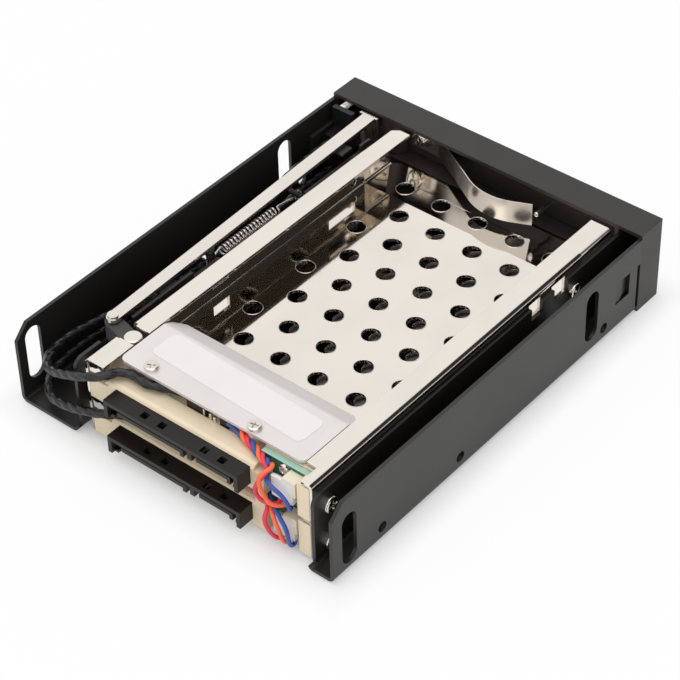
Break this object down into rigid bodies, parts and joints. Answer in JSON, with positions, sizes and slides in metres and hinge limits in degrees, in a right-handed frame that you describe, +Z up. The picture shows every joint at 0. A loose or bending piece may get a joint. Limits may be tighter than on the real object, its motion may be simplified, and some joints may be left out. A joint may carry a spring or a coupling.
{
  "type": "hot swap drive cage",
  "caption": "Steel and plastic cage for a 3.5 inch bay with hinged doors, perforated folded trays, rod and lever ejectors and rear plugs.",
  "frame": {"origin": "centre of the footprint at the underside of the front bezel", "axes": "+Z up, +Y to the rear with the host plugs, -Y to the doors, +X to the side with the eject rods"},
  "size_m": [0.1016, 0.135, 0.0257],
  "materials": {
    "bracket_black": "satin",
    "tray_steel": "polished",
    "cover_steel": "satin",
    "rod_steel": "satin",
    "screw_steel": "polished",
    "pin_steel": "polished",
    "spring_steel": "polished",
    "leaf_steel": "polished",
    "bezel_black": "satin",
    "lever_black": "satin",
    "holder_cream": "satin",
    "plug_black": "satin",
    "header_ivory": "satin",
    "plug_white": "satin",
    "board_green": "satin",
    "board_black": "satin",
    "label_white": "matt",
    "wire_red": "satin",
    "wire_orange": "satin",
    "wire_blue": "satin",
    "lead_black": "satin",
    "light_clear": "gloss",
    "led_white": "gloss",
    "switch_black": "satin"
  },
  "bodies": {
    "chassis": {"front_bezel": "bezel_black", "door_hinge_pin": "pin_steel", "left_side_bracket": "bracket_black", "right_side_bracket": "bracket_black", "rear_cover_plate": "cover_steel", "blank_label": "label_white", "cover_screws": "screw_steel", "right_bracket_screws": "screw_steel", "left_bracket_screws": "screw_steel", "left_spacers": "pin_steel", "circuit_board_screws": "screw_steel", "switch_board": "board_black", "tact_switches": "switch_black", "status_leds": "led_white", "lever_pivot_pin": "pin_steel", "lower_cage_tray": "tray_steel", "lower_board_holder": "holder_cream", "lower_circuit_board": "board_green", "lower_host_plug": "plug_black", "lower_drive_socket": "plug_black", "lower_wire_header": "header_ivory", "lower_wire_plug": "plug_white", "lower_light_pipe": "light_clear", "lower_return_spring": "spring_steel", "lower_black_lead": "lead_black", "lower_lead_connectors": "plug_black", "lower_red_wire": "wire_red", "lower_orange_wire": "wire_orange", "lower_blue_wire": "wire_blue", "upper_cage_tray": "tray_steel", "upper_board_holder": "holder_cream", "upper_circuit_board": "board_green", "upper_host_plug": "plug_black", "upper_drive_socket": "plug_black", "upper_wire_header": "header_ivory", "upper_wire_plug": "plug_white", "upper_light_pipe": "light_clear", "upper_return_spring": "spring_steel", "upper_black_lead": "lead_black", "upper_lead_connectors": "plug_black", "upper_red_wire": "wire_red", "upper_orange_wire": "wire_orange", "upper_blue_wire": "wire_blue"},
    "lower_door_body": {"lower_door": "bezel_black", "lower_leaf_spring": "leaf_steel", "lower_leaf_screw": "screw_steel"},
    "lower_rod_body": {"lower_eject_rod": "rod_steel", "lower_rod_pin": "pin_steel"},
    "lower_lever_body": {"lower_eject_lever": "lever_black"},
    "lower_button_body": {"lower_power_button": "bezel_black"},
    "upper_door_body": {"upper_door": "bezel_black", "upper_leaf_spring": "leaf_steel", "upper_leaf_screw": "screw_steel"},
    "upper_rod_body": {"upper_eject_rod": "rod_steel", "upper_rod_pin": "pin_steel"},
    "upper_lever_body": {"upper_eject_lever": "lever_black"},
    "upper_button_body": {"upper_power_button": "bezel_black"}
  },
  "joints": [
    {"name": "lower_door_hinge", "type": "hinge", "parent": "chassis", "child": "lower_door_body", "pos_m": [0.0329, -0.06275, 0.0065], "axis": [0, 0, 1], "range_deg": [0, 90]},
    {"name": "lower_rod_slide", "type": "slide", "parent": "chassis", "child": "lower_rod_body", "axis": [0, 1, 0], "range_m": [0, 0.00441], "stiffness_N_per_m": 2, "deforming": ["lower_return_spring"]},
    {"name": "lower_lever_pivot", "type": "hinge", "parent": "chassis", "child": "lower_lever_body", "pos_m": [0.0255, 0.04945, 0.0062], "axis": [0, 0, 1], "range_deg": [0, 27.5]},
    {"name": "lower_button_press", "type": "slide", "parent": "chassis", "child": "lower_button_body", "axis": [0, 1, 0], "range_m": [0, 0.0008], "stiffness_N_per_m": 200},
    {"name": "upper_door_hinge", "type": "hinge", "parent": "chassis", "child": "upper_door_body", "pos_m": [0.0329, -0.06275, 0.0183], "axis": [0, 0, 1], "range_deg": [0, 90]},
    {"name": "upper_rod_slide", "type": "slide", "parent": "chassis", "child": "upper_rod_body", "axis": [0, 1, 0], "range_m": [0, 0.00441], "stiffness_N_per_m": 2, "deforming": ["upper_return_spring"]},
    {"name": "upper_lever_pivot", "type": "hinge", "parent": "chassis", "child": "upper_lever_body", "pos_m": [0.0255, 0.04945, 0.018], "axis": [0, 0, 1], "range_deg": [0, 27.5]},
    {"name": "upper_button_press", "type": "slide", "parent": "chassis", "child": "upper_button_body", "axis": [0, 1, 0], "range_m": [0, 0.0008], "stiffness_N_per_m": 200}
  ],
  "couplings": [
    {"joint": "lower_rod_slide", "follows": "lower_door_hinge", "m_per_rad": 0.0028011},
    {"joint": "lower_lever_pivot", "follows": "lower_door_hinge", "ratio": 0.30511},
    {"joint": "upper_rod_slide", "follows": "upper_door_hinge", "m_per_rad": 0.0028011},
    {"joint": "upper_lever_pivot", "follows": "upper_door_hinge", "ratio": 0.30511}
  ]
}
